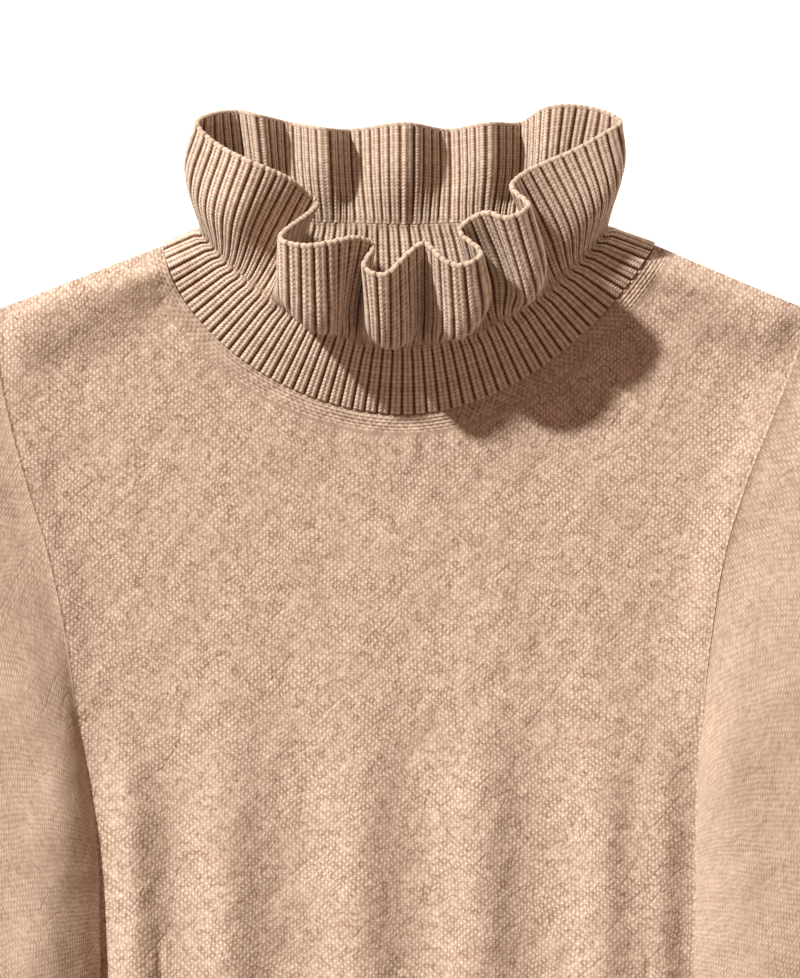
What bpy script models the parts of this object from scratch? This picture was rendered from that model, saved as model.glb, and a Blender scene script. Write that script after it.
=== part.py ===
"""A knitted sweater dress with a ribbed neckband and a ruffle, laid out on its back.

It lies in the XY plane, face up, with its neck towards +Y. The tables below are in millimetres,
measured from the middle of the line between the two shoulder-neck points; the finished dress is
moved so that the origin is at the centre of its floor plan, on the surface it lies on.
"""

import bpy
import numpy as np

MM = 0.001

# Cloth
WALL = 1.6
SEAM_GAP = 0.8
ARMHOLE_GAP = 1.0
PANEL_GAP = 0.3
RIB_WALL = 2.0
RIB_HEIGHT = 1.0
FLAT_SEAM = 2 * WALL + PANEL_GAP
CAMEL = (0.52, 0.34, 0.21, 1.0)

# Neck: the panels' necklines and the throat where neckband and ruffle meet
NECK_LEFT = 114.0
NECK_RIGHT = 121.0
FRONT_NECK_DEPTH = 81.0
BACK_NECK_DEPTH = 22.0
NECK_SHAPE_LEFT = (1.87, 0.6)  # two powers: how flat its middle is, how steep its end
NECK_SHAPE_RIGHT = (2.0, 0.9)
THROAT_LEFT = 97.0
THROAT_RIGHT = 98.0
THROAT_FRONT = (10.0, 58.0, 12.0, 15.0)  # y at the ends, depth, z at the ends, rise
THROAT_BACK = (16.0, 6.0, 5.0)  # y at the ends, depth, z
NECKBAND_RIBS = 92
RUFFLE_RIBS = 112
NECKBAND_RISE = 0.7
NECKBAND_ROWS = 3
RUFFLE_ROWS = 5

# Shoulders and hem
SHOULDER_X = 197.0
SHOULDER_DROP = 32.0
HEM_Y = -880.0
FRONT_ROWS = 26
BACK_ROWS = 18
ROW_SPREAD = 1.25  # over 1 puts the rows closer together near the neck

# The torso's side edges: the armholes from the shoulder to the underarm, then the side seams.
#            y     left    right
TORSO = (
    (-32.0, 197.0, 197.0),
    (-60.0, 193.5, 187.0),
    (-90.0, 187.0, 175.0),
    (-115.0, 180.0, 165.0),
    (-150.0, 169.5, 154.5),
    (-190.0, 161.0, 148.0),
    (-228.0, 155.5, 144.0),
    (-252.0, 151.5, 142.5),
    (-290.0, 146.5, 141.5),
    (-352.0, 145.5, 141.0),
    (-400.0, 147.0, 144.0),
    (-450.0, 157.0, 156.0),
    (-500.0, 173.0, 173.0),
    (-560.0, 191.0, 191.0),
    (-630.0, 205.0, 205.0),
    (-720.0, 214.0, 214.0),
    (-880.0, 222.0, 222.0),
)
UNDERARM_Y = -252.0

# The front panel's loft over its seams and its soft ridges: how high each ridge is, how far in
# from its edge, and its spread.
FRONT_LOFT = 0.6
NECK_LIFT = (3.0, 0.0, 26.0)
SHOULDER_ROLL = (4.8, 11.5, 14.0)
LEFT_ROLL = (8.0, 17.0, 12.0)
RIGHT_ROLL = (4.5, 17.0, 12.0)
LEFT_SWELL = 2.5  # how far the cloth rises to the sleeves along the armholes
RIGHT_SWELL = 6.0
ROUNDING = 9.0  # how far in the cloth takes to round over an edge
ARMHOLE_ROUNDING = 12.0
HEM_LIFT = 6.0
HEM_LIFT_START = -740.0

# Folds that run down the front: where the crest is, from where to where it is high, and its size.
#          x      top   full    end    height  spread
FRONT_FOLDS = (
    (-83.5, -185.0, -320.0, -480.0, 7.5, 16.0),
    (-21.0, -185.0, -320.0, -470.0, 7.5, 16.5),
    (37.5, -185.0, -320.0, -480.0, 8.0, 16.0),
    (96.5, -190.0, -320.0, -470.0, 7.5, 14.5),
    (-128.0, -440.0, -640.0, -1200.0, 6.0, 24.0),
    (-50.0, -460.0, -640.0, -1200.0, 5.0, 26.0),
    (36.0, -450.0, -640.0, -1200.0, 6.5, 24.0),
    (122.0, -450.0, -640.0, -1200.0, 5.5, 26.0),
)

# A sleeve's sections, armhole to cuff: its outer fold, how far down its inner fold is and how far
# from the torso's edge, the left and the right sleeve's height, and how much the section bows
# along the armhole.
#         outer x  outer y  inner y  clear  left  right   bow
SLEEVE = (
    (197.0, -32.0, -252.0, 0.8, 3.5, 3.5, 1.0),
    (207.0, -41.0, -257.0, 1.4, 8.5, 9.5, 0.9),
    (232.0, -72.0, -270.0, 1.8, 13.5, 14.0, 0.55),
    (257.0, -128.0, -292.0, 1.8, 19.0, 16.0, 0.2),
    (270.0, -200.0, -322.0, 1.8, 24.0, 16.0, 0.0),
    (277.0, -270.0, -356.0, 1.8, 28.0, 16.0, 0.0),
    (284.0, -350.0, -402.0, 6.0, 25.0, 14.0, 0.0),
    (293.0, -430.0, -452.0, 14.0, 19.0, 13.0, 0.0),
    (304.0, -510.0, -512.0, 16.0, 14.0, 12.0, 0.0),
    (315.0, -580.0, -574.0, 17.0, 11.0, 11.0, 0.0),
    (324.0, -645.0, -634.0, 22.0, 11.0, 11.0, 0.0),
)
SLEEVE_SIDE = 40.0  # how far in from its folds a sleeve reaches its height
FOLD_SHARE = 0.3  # how high a sleeve's folds lie, as a share of its height
LINK_POWER = 6  # how soon a sleeve leaves the height of the armhole
SLEEVE_POINTS = 22

# The ruffle's folds, clockwise from its left corner: crests stand towards the viewer, valleys turn
# into the collar. Each row gives the rim, the belly between rim and throat, and the throat's x.
#                      rim                  belly            throat
#                  x      y     z       x      y     z        x
FRONT_RUFFLE = (
    ("corner_left", -98.5, 57.5, 32.0, -103.0, 37.0, 25.0, -95.5),
    ("lobe_a_left", -89.0, 47.5, 40.0, -96.5, 22.0, 29.0, -91.5),
    ("lobe_a", -72.0, 38.5, 52.0, -81.0, 13.0, 40.0, -83.5),
    ("lobe_a_right", -54.5, 31.0, 47.0, -67.5, 6.0, 32.0, -75.5),
    ("lobe_a_end", -46.5, 24.5, 39.0, -60.0, -2.0, 24.0, -69.5),
    ("valley_ab", -40.5, 18.5, 37.0, -54.5, -8.0, 23.0, -63.5),
    ("lobe_b_left", -58.5, 2.5, 66.0, -58.5, -21.0, 51.0, -56.0),
    ("lobe_b", -47.0, -1.5, 72.0, -46.5, -37.0, 50.0, -46.0),
    ("lobe_b_mid", -34.5, 0.0, 72.0, -34.0, -39.5, 48.0, -35.5),
    ("lobe_b_right", -21.5, 2.5, 66.0, -27.5, -31.5, 39.0, -26.5),
    ("valley_bc", -13.5, -1.5, 60.0, -18.5, -27.0, 31.0, -20.5),
    ("lobe_c_left", -18.5, -11.5, 69.0, -15.5, -38.5, 52.0, -15.0),
    ("lobe_c", -8.5, -15.5, 72.0, -8.0, -47.0, 50.0, -8.0),
    ("lobe_c_right", 1.0, -7.0, 69.0, 2.0, -43.5, 45.0, 0.0),
    ("valley_cd", 10.5, 0.0, 62.0, 10.5, -29.0, 33.0, 9.5),
    ("lobe_d_left", 18.5, -7.5, 69.0, 20.0, -39.0, 46.0, 18.0),
    ("lobe_d", 28.0, -11.0, 72.0, 30.0, -42.0, 50.0, 25.5),
    ("lobe_d_right", 38.0, -5.0, 70.0, 41.5, -26.5, 54.0, 33.0),
    ("valley_de", 27.0, 6.0, 60.0, 34.0, -17.0, 33.0, 41.0),
    ("lobe_e_left", 39.5, 14.5, 66.0, 52.0, -17.0, 43.0, 49.5),
    ("lobe_e", 49.5, 11.5, 71.0, 60.0, -24.5, 48.0, 57.0),
    ("lobe_e_right", 60.5, 17.5, 69.0, 68.0, -10.0, 51.0, 65.0),
    ("valley_ef", 52.0, 26.5, 54.0, 63.0, 3.0, 33.0, 72.0),
    ("lobe_f_left", 60.0, 34.5, 45.0, 75.0, 7.0, 34.0, 79.5),
    ("lobe_f", 81.5, 44.0, 38.0, 91.0, 18.0, 34.0, 88.0),
    ("lobe_f_right", 97.5, 53.0, 35.0, 101.5, 28.0, 30.0, 94.0),
    ("corner_right", 104.5, 58.5, 32.0, 105.0, 41.0, 24.0, 97.0),
)
BACK_RUFFLE = (
    ("crest_right", 90.0, 65.0, 24.0, 85.5, 41.0, 16.0, 84.5),
    ("crest_1", 71.0, 65.5, 22.0, 69.0, 38.5, 17.0, 67.0),
    ("valley_1", 57.0, 58.0, 4.0, 56.5, 35.0, 3.0, 54.0),
    ("crest_2", 41.0, 57.5, 22.0, 41.0, 35.0, 17.0, 39.5),
    ("valley_2", 22.0, 54.5, 4.0, 22.5, 32.0, 3.0, 22.0),
    ("crest_3", 1.5, 57.5, 22.0, 1.5, 33.5, 17.0, 1.5),
    ("valley_3", -24.0, 54.5, 4.0, -23.0, 32.0, 3.0, -21.0),
    ("crest_4", -37.5, 55.0, 22.0, -36.5, 33.5, 17.0, -35.0),
    ("valley_4", -54.0, 58.0, 4.0, -53.0, 35.0, 3.0, -50.5),
    ("crest_5", -69.5, 61.5, 20.0, -67.0, 38.0, 15.0, -65.0),
    ("valley_5", -79.0, 63.5, 11.0, -76.5, 41.0, 8.0, -75.0),
    ("crest_left", -91.0, 62.0, 25.0, -90.0, 43.0, 17.0, -86.5),
)
BELLY_LEVEL = 0.45
STRAIGHT_LEVEL = -0.25  # the neckband is straight up to here
TURN_ROUNDING = 1.2
TIGHTEST = 0.6  # the wall's reach from its middle, as a share of the bend's radius
COLUMN_STEP = 0.2
LEVEL_STEP = 0.02


def spline(knots, values, at, period=None):
    """Values on a smooth curve through (knots, values); the curve closes after period."""
    knots = np.asarray(knots, float)
    values = np.asarray(values, float).reshape(len(knots), -1)
    at = np.atleast_1d(np.asarray(at, float))
    if period:
        knots = np.concatenate([knots[-2:] - period, knots, knots[:2] + period])
        values = np.concatenate([values[-2:], values, values[:2]])
        at = at % period
    slopes = np.empty_like(values)
    slopes[1:-1] = (values[2:] - values[:-2]) / (knots[2:] - knots[:-2])[:, None]
    slopes[0] = (values[1] - values[0]) / (knots[1] - knots[0])
    slopes[-1] = (values[-1] - values[-2]) / (knots[-1] - knots[-2])
    i = np.clip(np.searchsorted(knots, at, side="right") - 1, 0, len(knots) - 2)
    step = (knots[i + 1] - knots[i])[:, None]
    s = ((at - knots[i]) / step[:, 0])[:, None]
    return (
        (2 * s**3 - 3 * s**2 + 1) * values[i]
        + (s**3 - 2 * s**2 + s) * step * slopes[i]
        + (3 * s**2 - 2 * s**3) * values[i + 1]
        + (s**3 - s**2) * step * slopes[i + 1]
    )


def smoothstep(low, high, value):
    s = np.clip((value - low) / (high - low), 0.0, 1.0)
    return s * s * (3 - 2 * s)


def bell(distance, spread):
    return np.exp(-((distance / spread) ** 2))


def ridge(distance, height, inset, spread):
    return height * bell(distance - inset, spread)


def lengths(points, closed):
    """Distance along a polyline to each of its points, and its whole length."""
    following = np.roll(points, -1, axis=0) if closed else points[1:]
    steps = np.linalg.norm(following - points[: len(following)], axis=1)
    along = np.concatenate([[0.0], np.cumsum(steps)])
    return (along[:-1], along[-1]) if closed else (along, along[-1])


# ---------------------------------------------------------------- the torso's outline


def torso_edge(y, right):
    """How far the torso's edge is from x = 0 at each y, on its right or its left side."""
    ys, left_widths, right_widths = np.array(TORSO).T
    down = -np.minimum(np.asarray(y, float), ys[0])
    left = spline(-ys, left_widths, down.ravel()).reshape(down.shape)
    return np.where(right, spline(-ys, right_widths, down.ravel()).reshape(down.shape), left)


def neckline(x, depth):
    """How far down the neckline is at x."""
    half = np.where(x < 0, NECK_LEFT, NECK_RIGHT)
    across = np.clip(np.abs(x) / half, 0.0, 1.0)
    left, right = NECK_SHAPE_LEFT, NECK_SHAPE_RIGHT
    left_curve = (1 - across ** left[0]) ** left[1]
    return -depth * np.where(x < 0, left_curve, (1 - across ** right[0]) ** right[1])


def shoulder_line(x):
    """The shoulder's slope, carried on over the neck."""
    half = np.where(x < 0, NECK_LEFT, NECK_RIGHT)
    return -SHOULDER_DROP * np.minimum((np.abs(x) - half) / (SHOULDER_X - half), 1.0)


def top_edge(x, depth):
    half = np.where(x < 0, NECK_LEFT, NECK_RIGHT)
    return np.where(np.abs(x) < half, neckline(x, depth), shoulder_line(x))


def armhole_height(y, right):
    """Height of the outer faces where the front and a sleeve are linked."""
    along = np.clip((y + SHOULDER_DROP) / (UNDERARM_Y + SHOULDER_DROP), 0.0, 1.0)
    swell = np.where(right, RIGHT_SWELL, LEFT_SWELL)
    return FLAT_SEAM + swell * (4 * along * (1 - along)) ** 0.8


def front_height(x, y):
    """Height of the front panel's outer face over the surface that the dress lies on."""
    side = torso_edge(y, x > 0) - np.abs(x)
    shoulder = np.maximum(shoulder_line(x) - y, 0.0)
    below_neck = np.maximum(neckline(x, FRONT_NECK_DEPTH) - y, 0.0)
    near_neck = smoothstep(160.0, 110.0, np.abs(x))
    below_underarm = smoothstep(-215.0, -290.0, y)
    roll = np.where(x > 0, ridge(side, *RIGHT_ROLL), ridge(side, *LEFT_ROLL))
    height = FRONT_LOFT + near_neck * ridge(below_neck, *NECK_LIFT)
    height = height + below_underarm * roll + ridge(shoulder, *SHOULDER_ROLL)
    for crest_x, top, full, end, tall, spread in FRONT_FOLDS:
        strength = smoothstep(top, full, y) * (1 - smoothstep(full + 0.4 * (end - full), end, y))
        height = height + strength * ridge(x, tall, crest_x, spread)
    height = height + HEM_LIFT * smoothstep(HEM_LIFT_START, HEM_Y, y) * smoothstep(0.0, 60.0, side)
    rounding = ARMHOLE_ROUNDING + (ROUNDING - ARMHOLE_ROUNDING) * below_underarm
    at_side = bell(np.maximum(side, 0.0), rounding)
    height = height + at_side * (armhole_height(y, x > 0) - FLAT_SEAM - height)
    return FLAT_SEAM + (1 - bell(shoulder, ROUNDING)) * height


# ---------------------------------------------------------------- meshes


def grid_solid(name, outer, inner, around):
    """A closed wall between two grids of points, as rows of columns; around joins last to first."""
    rows, columns = outer.shape[:2]
    points = np.concatenate([outer.reshape(-1, 3), inner.reshape(-1, 3)]) * MM
    shift = rows * columns
    faces = []
    for r in range(rows - 1):
        for c in range(columns if around else columns - 1):
            a = r * columns + c
            b = r * columns + (c + 1) % columns
            for corners in ((a, b, b + columns), (a, b + columns, a + columns)):
                faces.append(corners)
                faces.append(tuple(k + shift for k in reversed(corners)))

    def close(a, b):
        """The wall's edge, from a and b on its outer face to their partners on its inner face."""
        faces.extend([(a, b, a + shift), (b, b + shift, a + shift)])

    last_row = (rows - 1) * columns
    for c in range(columns if around else columns - 1):
        a, b = c, (c + 1) % columns
        close(b, a)
        close(a + last_row, b + last_row)
    if not around:
        for r in range(rows - 1):
            a, b = r * columns, (r + 1) * columns
            close(a, b)
            close(b + columns - 1, a + columns - 1)
    mesh = bpy.data.meshes.new(name)
    mesh.from_pydata([tuple(p) for p in points], [], faces)
    mesh.validate()
    piece = bpy.data.objects.new(name, mesh)
    mesh.materials.append(knit_material(name))
    mesh.shade_smooth()
    return piece


def knit_material(name):
    material = bpy.data.materials.new(name + "_knit")
    material.use_nodes = True
    shader = material.node_tree.nodes["Principled BSDF"]
    shader.inputs["Base Color"].default_value = CAMEL
    shader.inputs["Roughness"].default_value = 0.9
    shader.inputs["Metallic"].default_value = 0.0
    material.diffuse_color = CAMEL
    return material


# ---------------------------------------------------------------- panels


def panel_columns():
    """Column places across a panel, closer together where the neckline is steep."""
    neck = [-1.0, -0.97, -0.93, -0.86, -0.76, -0.63, -0.48, -0.32, -0.16, 0.0]
    left = [NECK_LEFT * n for n in neck]
    right = [-NECK_RIGHT * n for n in reversed(neck[:-1])]
    beyond = [NECK_RIGHT + (SHOULDER_X - NECK_RIGHT) * k / 7 for k in range(1, 8)]
    before = [-NECK_LEFT - (SHOULDER_X - NECK_LEFT) * k / 7 for k in range(7, 0, -1)]
    return np.array(before + left + right + beyond) / SHOULDER_X


def panel_grid(depth, rows):
    """x and y of a panel's grid, from its top edge down to the hem."""
    across = panel_columns()
    down = (np.arange(rows + 1) / rows) ** ROW_SPREAD
    top = top_edge(across * SHOULDER_X, depth)
    y = top[None, :] + (HEM_Y - top[None, :]) * down[:, None]
    x = across[None, :] * torso_edge(y, (across > 0)[None, :])
    return x, y


def front():
    x, y = panel_grid(FRONT_NECK_DEPTH, FRONT_ROWS)
    outer = np.stack([x, y, front_height(x, y)], axis=-1)[:, ::-1]
    return grid_solid("front", outer, outer - (0.0, 0.0, WALL), around=False)


def back():
    x, y = panel_grid(BACK_NECK_DEPTH, BACK_ROWS)
    outer = np.stack([x, y, np.zeros_like(x)], axis=-1)
    return grid_solid("back", outer, outer + (0.0, 0.0, WALL), around=False)


# ---------------------------------------------------------------- sleeves


def armhole(along, right):
    """Plan points of the armhole from the shoulder, 0, to the underarm, 1."""
    y = -SHOULDER_DROP + (UNDERARM_Y + SHOULDER_DROP) * along
    return np.stack([torso_edge(y, right), y], axis=-1)


def sleeve_section(right, outer_x, outer_y, inner_y, clear, height, bow):
    """Outer and inner rings of points of one flattened section, drawn on the right side."""
    turn = 2 * np.pi * (np.arange(SLEEVE_POINTS) + 0.5) / SLEEVE_POINTS
    across = 0.5 - 0.5 * np.sign(np.cos(turn)) * np.abs(np.cos(turn)) ** 0.75
    outer_fold = np.array([outer_x + ARMHOLE_GAP, outer_y])
    inner_fold = np.array([float(torso_edge(inner_y, right)) + clear, inner_y])
    width = np.linalg.norm(inner_fold - outer_fold)
    ends = armhole(np.array([0.0, 1.0]), right)
    fold_height = max(WALL + PANEL_GAP / 2, FOLD_SHARE * height)
    from_fold = width * np.minimum(across, 1 - across)
    swell = np.sin(np.pi / 2 * np.clip(from_fold / SLEEVE_SIDE, 0.0, 1.0))
    under = -np.abs(np.sin(turn)) ** (0.6 * (1 - (FLAT_SEAM / height) ** 2))
    linked = bow**LINK_POWER

    def ring(across, wall):
        chord = outer_fold + across[:, None] * (inner_fold - outer_fold)
        along = armhole(across, right)
        bowed = along - (ends[0] + across[:, None] * (ends[1] - ends[0]))
        loose = fold_height + swell * (height - wall - fold_height)
        top = linked * (armhole_height(along[:, 1], right) - wall) + (1 - linked) * loose
        bottom = fold_height + under * (fold_height - wall)
        z = np.where(np.sin(turn) > 0, top, bottom)
        return np.concatenate([chord + bow * bowed, z[:, None]], axis=1)

    inset = WALL / width
    return ring(across, 0.0), ring(inset + across * (1 - 2 * inset), WALL)


def sleeve(name, side):
    sections = []
    for *folds, left_height, right_height, bow in SLEEVE:
        height = right_height if side > 0 else left_height
        sections.append(sleeve_section(side > 0, *folds, height, bow))
    outer = np.array([s[0] for s in sections])
    inner = np.array([s[1] for s in sections])
    outer[..., 0] *= side
    inner[..., 0] *= side
    if side < 0:
        outer, inner = outer[:, ::-1], inner[:, ::-1]
    return grid_solid(name, outer, inner, around=True)


# ---------------------------------------------------------------- collar


def throat_point(x, in_front):
    """The throat's point at x: the front arc rises over the flat back arc."""
    across = np.clip(abs(x) / (THROAT_LEFT if x < 0 else THROAT_RIGHT), 0.0, 1.0)
    middle = 1 - across**2
    if in_front:
        end_y, depth, end_z, rise = THROAT_FRONT
        return x, end_y - depth * middle**0.9, end_z + rise * middle**0.6
    end_y, depth, z = THROAT_BACK
    return x, end_y - depth * middle, z


def collar_frame():
    """The ruffle's knots and its levels, one point a fold: throat, belly, rim."""
    rows = [(True, *row[1:]) for row in FRONT_RUFFLE] + [(False, *row[1:]) for row in BACK_RUFFLE]
    throat = np.array([throat_point(row[7], row[0]) for row in rows])
    belly = np.array([row[4:7] for row in rows])
    rim = np.array([row[1:4] for row in rows])
    steps = np.linalg.norm(np.roll(rim, -1, axis=0) - rim, axis=1) ** 0.5
    knots = np.concatenate([[0.0], np.cumsum(steps)[:-1]])
    return knots, steps.sum(), throat, belly, rim


def rounded(knots, values, at, period):
    """The spline averaged over a short stretch, which rounds the turns of its folds."""
    weights = (1, 4, 6, 4, 1)
    shifts = np.linspace(-TURN_ROUNDING, TURN_ROUNDING, len(weights))
    parts = [w * spline(knots, values, at + shift, period) for w, shift in zip(weights, shifts)]
    return sum(parts) / sum(weights)


def neck_seam(share, front_share):
    """Points where the neckband starts: front arc for share < front_share, then the back arc."""
    x = panel_columns() * SHOULDER_X
    x = x[(x > -NECK_LEFT - 0.1) & (x < NECK_RIGHT + 0.1)]
    points = []
    for depth in (FRONT_NECK_DEPTH, BACK_NECK_DEPTH):
        y = neckline(x, depth)
        if depth == FRONT_NECK_DEPTH:
            z = front_height(x, y - 1.0) - WALL / 2 + NECKBAND_RISE
        else:
            z = np.full_like(x, RIB_WALL / 2 + RIB_HEIGHT)
        points.append(np.stack([x, y, z], axis=-1))
    front_arc, back_arc = points[0], points[1][::-1]
    along_front, front_length = lengths(front_arc, closed=False)
    along_back, back_length = lengths(back_arc, closed=False)
    result = np.empty((len(share), 3))
    for axis in range(3):
        on_front = np.interp(share / front_share * front_length, along_front, front_arc[:, axis])
        later = (share - front_share) / (1 - front_share) * back_length
        on_back = np.interp(later, along_back, back_arc[:, axis])
        result[:, axis] = np.where(share < front_share, on_front, on_back)
    return result


def collar_surface(at, level):
    """Mid-surface points of the collar at knots at, from -1, the neck seam, by 0, the throat, to 1."""
    knots, period, throat, belly, rim = collar_frame()
    at = np.asarray(at, float)
    dense = np.linspace(0, period, 1200, endpoint=False)
    along, whole = lengths(spline(knots, throat, dense, period), closed=True)
    front_end = np.interp(knots[len(FRONT_RUFFLE) - 1], dense, along) / whole
    share = np.interp(at % period, dense, along) / whole
    seam = neck_seam(share, front_end)
    throat_at = rounded(knots, throat, at, period)
    belly_at = rounded(knots, belly, at, period)
    rim_at = rounded(knots, rim, at, period)
    inward = throat_at - seam
    inward[:, 2] = 0
    inward /= np.linalg.norm(inward, axis=1)[:, None]
    seam = seam + inward * (RIB_WALL / 2 + RIB_HEIGHT / 2 + SEAM_GAP)
    straight = throat_at + STRAIGHT_LEVEL * (throat_at - seam)
    levels = np.array([-1.0, STRAIGHT_LEVEL, 0.0, BELLY_LEVEL, 1.0])
    through = np.stack([seam, straight, throat_at, belly_at, rim_at])
    flat = spline(levels, through.reshape(5, -1), level)
    return flat.reshape(len(np.atleast_1d(level)), len(at), 3)


def collar_wall(name, columns_at, levels, rib_height):
    """A ribbed wall: ribs stand on the outer face, over a plain inner face."""
    points = collar_surface(columns_at, levels)
    after = collar_surface(columns_at + COLUMN_STEP, levels)
    before = collar_surface(columns_at - COLUMN_STEP, levels)
    up = collar_surface(columns_at, levels + LEVEL_STEP)
    up = up - collar_surface(columns_at, levels - LEVEL_STEP)
    outward = np.cross(after - before, up)
    outward /= np.linalg.norm(outward, axis=-1, keepdims=True)
    bend = ((after - 2 * points + before) * outward).sum(axis=-1)
    bend /= (((after - before) / 2) ** 2).sum(axis=-1)
    room_outside = TIGHTEST / np.maximum(bend, 1e-6)
    room_inside = TIGHTEST / np.maximum(-bend, 1e-6)
    raised = np.where(np.arange(len(columns_at)) % 2 == 0, 0.5, -0.5) * rib_height
    out = np.minimum(RIB_WALL / 2 + raised[None, :], room_outside)
    into = np.minimum(RIB_WALL / 2, room_inside)
    return grid_solid(
        name, points + outward * out[..., None], points - outward * into[..., None], around=True
    )


def even_columns(ribs, level):
    """Knots of two columns a rib, evenly spaced along the collar at one level."""
    period = collar_frame()[1]
    dense = np.linspace(0, period, 3000, endpoint=False)
    along, whole = lengths(collar_surface(dense, np.array([level]))[0], closed=True)
    wanted = np.arange(2 * ribs) / (2 * ribs) * whole
    return np.interp(wanted, along, dense)


def neckband():
    levels = np.linspace(-1.0, -0.01, NECKBAND_ROWS + 1)
    return collar_wall("neckband", even_columns(NECKBAND_RIBS, -0.9), levels, RIB_HEIGHT)


def ruffle():
    levels = np.linspace(0.008, 1.0, RUFFLE_ROWS + 1)
    return collar_wall("ruffle", even_columns(RUFFLE_RIBS, 1.0), levels, RIB_HEIGHT)


# ---------------------------------------------------------------- assembly


def centre_on_floor(pieces):
    corners = np.array([c[:] for piece in pieces for c in piece.bound_box])
    low, high = corners.min(axis=0), corners.max(axis=0)
    for piece in pieces:
        for vertex in piece.data.vertices:
            vertex.co.x -= (low[0] + high[0]) / 2
            vertex.co.y -= (low[1] + high[1]) / 2
            vertex.co.z -= low[2]


def main():
    for old in list(bpy.data.objects):
        bpy.data.objects.remove(old)
    collection = bpy.data.collections.new("sweater_dress")
    bpy.context.scene.collection.children.link(collection)
    pieces = [
        front(),
        back(),
        sleeve("sleeve_left", -1),
        sleeve("sleeve_right", 1),
        neckband(),
        ruffle(),
    ]
    centre_on_floor(pieces)
    for piece in pieces:
        collection.objects.link(piece)


main()
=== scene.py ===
"""The laid-out sweater dress, dressed for rendering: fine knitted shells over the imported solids.

Tables and the functions that shape the cloth are in millimetres, in the same plan as the solids:
x to the right and y towards the neck, from the middle of the line between the shoulder-neck points.
"""

import bpy
import numpy as np
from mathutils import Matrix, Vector


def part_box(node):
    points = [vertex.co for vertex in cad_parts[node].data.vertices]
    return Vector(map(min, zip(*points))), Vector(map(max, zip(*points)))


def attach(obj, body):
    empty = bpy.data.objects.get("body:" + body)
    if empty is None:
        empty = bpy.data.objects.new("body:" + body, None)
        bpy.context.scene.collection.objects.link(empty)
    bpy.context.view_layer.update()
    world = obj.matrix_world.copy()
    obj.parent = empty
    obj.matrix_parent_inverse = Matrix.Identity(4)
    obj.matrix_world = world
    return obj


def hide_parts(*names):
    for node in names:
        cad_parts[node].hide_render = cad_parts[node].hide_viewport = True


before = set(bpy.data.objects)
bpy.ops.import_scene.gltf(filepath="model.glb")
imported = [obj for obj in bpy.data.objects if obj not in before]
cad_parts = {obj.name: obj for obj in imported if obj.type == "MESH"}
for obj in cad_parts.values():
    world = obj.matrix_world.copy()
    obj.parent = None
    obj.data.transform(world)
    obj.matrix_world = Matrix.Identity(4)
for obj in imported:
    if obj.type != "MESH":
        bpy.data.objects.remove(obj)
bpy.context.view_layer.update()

MM = 0.001

# -------- measures shared with the solids

WALL = 1.6
PANEL_GAP = 0.3
FLAT_SEAM = 2 * WALL + PANEL_GAP  # the two panels' height where they are linked
RIB_WALL = 2.0
RIB_HEIGHT = 1.0

NECK_LEFT = 114.0
NECK_RIGHT = 121.0
FRONT_NECK_DEPTH = 81.0
BACK_NECK_DEPTH = 22.0
NECK_SHAPE_LEFT = (1.87, 0.6)  # two powers: how flat its middle is, how steep its end
NECK_SHAPE_RIGHT = (2.0, 0.9)
THROAT_LEFT = 97.0
THROAT_RIGHT = 98.0
THROAT_FRONT = (10.0, 58.0, 12.0, 15.0)  # y at the ends, depth, z at the ends, rise
THROAT_BACK = (16.0, 6.0, 5.0)  # y at the ends, depth, z
NECKBAND_RIBS = 92
RUFFLE_RIBS = 112
NECKBAND_RISE = 0.7

SHOULDER_X = 197.0
SHOULDER_DROP = 32.0
HEM_Y = -880.0
UNDERARM_Y = -252.0

# The torso's side edges: the armholes from the shoulder to the underarm, then the side seams.
#            y     left    right
TORSO = (
    (-32.0, 197.0, 197.0),
    (-60.0, 193.5, 187.0),
    (-90.0, 187.0, 175.0),
    (-115.0, 180.0, 165.0),
    (-150.0, 169.5, 154.5),
    (-190.0, 161.0, 148.0),
    (-228.0, 155.5, 144.0),
    (-252.0, 151.5, 142.5),
    (-290.0, 146.5, 141.5),
    (-352.0, 145.5, 141.0),
    (-400.0, 147.0, 144.0),
    (-450.0, 157.0, 156.0),
    (-500.0, 173.0, 173.0),
    (-560.0, 191.0, 191.0),
    (-630.0, 205.0, 205.0),
    (-720.0, 214.0, 214.0),
    (-880.0, 222.0, 222.0),
)

# The front panel's loft over its seams and its soft ridges: how high each ridge is, how far in
# from its edge, and its spread. The shoulders and the left swell are a little more marked here
# than in the solid.
FRONT_LOFT = 0.6
NECK_LIFT = (3.0, 0.0, 26.0)
SHOULDER_ROLL = (5.6, 9.0, 12.5)
SHOULDER_FOLD = (3.6, 24.0, 12.0)  # only away from the neck
LEFT_ROLL = (8.0, 17.0, 12.0)
RIGHT_ROLL = (4.5, 17.0, 12.0)
LEFT_SWELL = 4.2  # how far the cloth rises to the sleeves along the armholes
RIGHT_SWELL = 6.0
SWELL_POWER = 0.8  # under 1 fills out the swell's ends
ROUNDING = 9.0  # how far in the cloth takes to round over an edge
SHOULDER_EDGE = 4.0  # the same for the shoulders, away from the neck
ARMHOLE_ROUNDING = 12.0
NECK_REACH = (160.0, 110.0)  # from no share of the neck's lift to all of it, in from the sides
SIDE_ROLLS = (-215.0, -290.0)  # from no share of the side rolls to all of it, down the front
FOLD_FADE = 0.4  # where a fold starts to fade, as a share of the way from full to its end
HEM_LIFT = 6.0
HEM_LIFT_START = -740.0
HEM_EASE = 60.0  # how far in from the side seams the hem reaches its lift

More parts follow.
